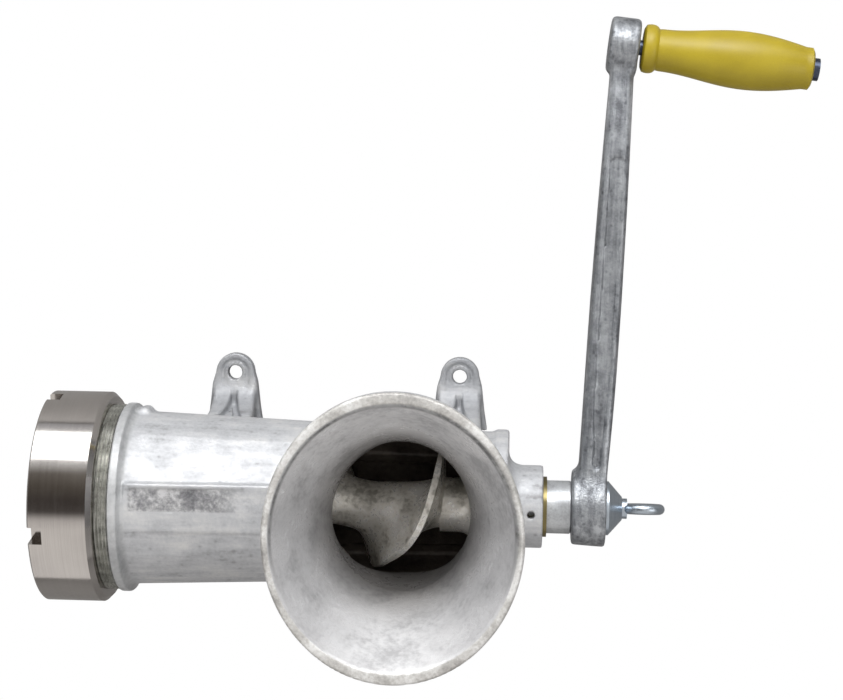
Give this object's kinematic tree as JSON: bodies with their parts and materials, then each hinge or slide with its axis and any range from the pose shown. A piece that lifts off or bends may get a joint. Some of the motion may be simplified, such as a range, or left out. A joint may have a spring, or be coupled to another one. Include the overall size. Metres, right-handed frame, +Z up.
{
  "type": "manual meat grinder",
  "caption": "Hand-cranked meat grinder: tapered barrel with oval feed hopper on splayed bolt-down legs, screwed ring nut over plate and knife, long crank with turned grip.",
  "frame": {"origin": "centre of the four foot bolts, on the face that the feet stand on", "axes": "+X along the scroll's axis from the ring nut towards the crank, +Y towards the crank arm at rest, +Z up through the hopper"},
  "size_m": [0.4323, 0.3547, 0.239],
  "materials": {
    "cast_body": "bright tin plating over a cast surface",
    "brass": "turned",
    "bright_steel": "ground",
    "plate_steel": "ground",
    "ring_steel": "turned and polished",
    "scroll_metal": "dull tin plating over a cast surface",
    "fibre": "hard fibre",
    "crank_metal": "mottled tin plating over a cast surface",
    "zinc": "blue zinc plating",
    "bolt_steel": "blued steel",
    "grip_plastic": "satin moulded plastic"
  },
  "bodies": {
    "housing": {"housing": "cast_body", "neck_bush": "brass", "plate_key": "bright_steel"},
    "plate": {"hole_plate": "plate_steel"},
    "ring": {"ring_nut": "ring_steel"},
    "drive": {"scroll": "scroll_metal", "scroll_stud": "bright_steel", "knife": "bright_steel", "thrust_washer": "fibre", "crank": "crank_metal", "grip_bolt": "bolt_steel"},
    "clamp": {"cone_washer": "zinc"},
    "eye": {"eye_screw": "zinc"},
    "grip": {"grip": "grip_plastic"}
  },
  "joints": [
    {"name": "crank_turn", "type": "hinge", "parent": "housing", "child": "drive", "pos_m": [0, 0, 0.125], "axis": [-1, 0, 0], "continuous": true},
    {"name": "plate_slide", "type": "slide", "parent": "housing", "child": "plate", "axis": [-1, 0, 0], "range_m": [0, 0.01]},
    {"name": "ring_turn", "type": "hinge", "parent": "plate", "child": "ring", "pos_m": [-0.1415, 0, 0.125], "axis": [-1, 0, 0], "range_deg": [0, 1800]},
    {"name": "clamp_slide", "type": "slide", "parent": "drive", "child": "clamp", "axis": [1, 0, 0], "range_m": [0, 0.006]},
    {"name": "eye_turn", "type": "hinge", "parent": "clamp", "child": "eye", "pos_m": [0.1653, 0, 0.125], "axis": [1, 0, 0], "range_deg": [0, 1440]},
    {"name": "grip_spin", "type": "hinge", "parent": "drive", "child": "grip", "pos_m": [0.1642, 0.262, 0.125], "axis": [0.9938, -0.1115, 0], "continuous": true}
  ],
  "couplings": [
    {"joint": "plate_slide", "follows": "ring_turn", "m_per_rad": 0.000318},
    {"joint": "eye_turn", "follows": "clamp_slide", "rad_per_m": 4188}
  ]
}
